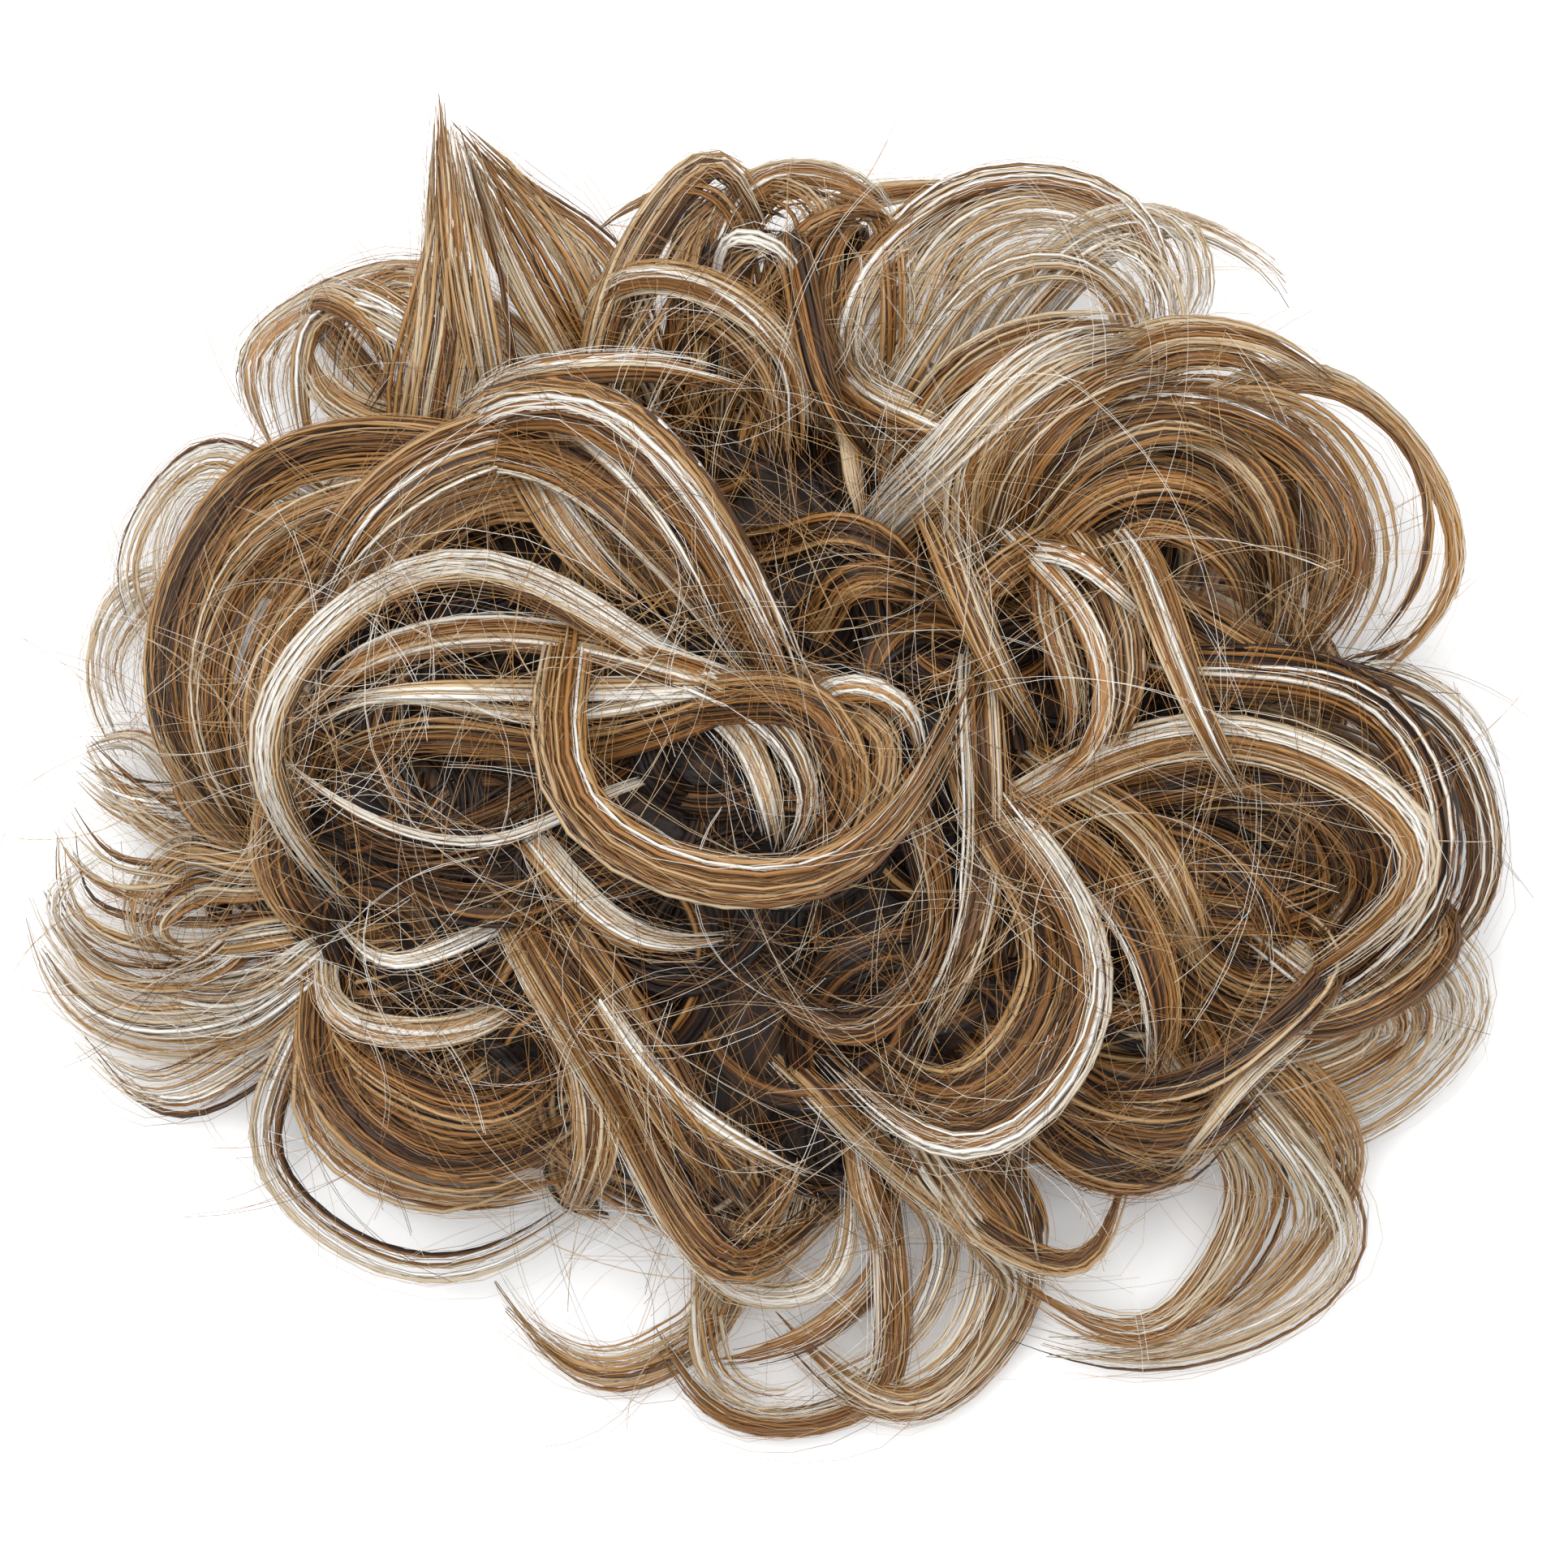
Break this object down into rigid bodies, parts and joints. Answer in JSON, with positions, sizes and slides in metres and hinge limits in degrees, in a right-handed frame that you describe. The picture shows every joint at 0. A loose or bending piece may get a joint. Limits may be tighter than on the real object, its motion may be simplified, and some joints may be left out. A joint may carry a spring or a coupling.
{
  "type": "hairpiece",
  "caption": "Loose top knot hairpiece: a covered elastic ring inside a cushion of tousled curled locks, worn over a gathered ponytail as a messy bun.",
  "frame": {"origin": "middle of the hairpiece's footprint, on the surface that its underside rests on", "axes": "+Z out of the curls, away from the elastic ring; +X across the widest way of the curls; +Y up the face, towards the upright spike of hair"},
  "size_m": [0.1588, 0.1414, 0.0588],
  "materials": {
    "elastic_cover": "dark brown knitted cover, matt",
    "hair": "synthetic hair in golden brown, sand and pale blond streaks, satin"
  },
  "bodies": {
    "root": {"elastic_ring": "elastic_cover", "hair_curls": "hair"}
  },
  "joints": []
}
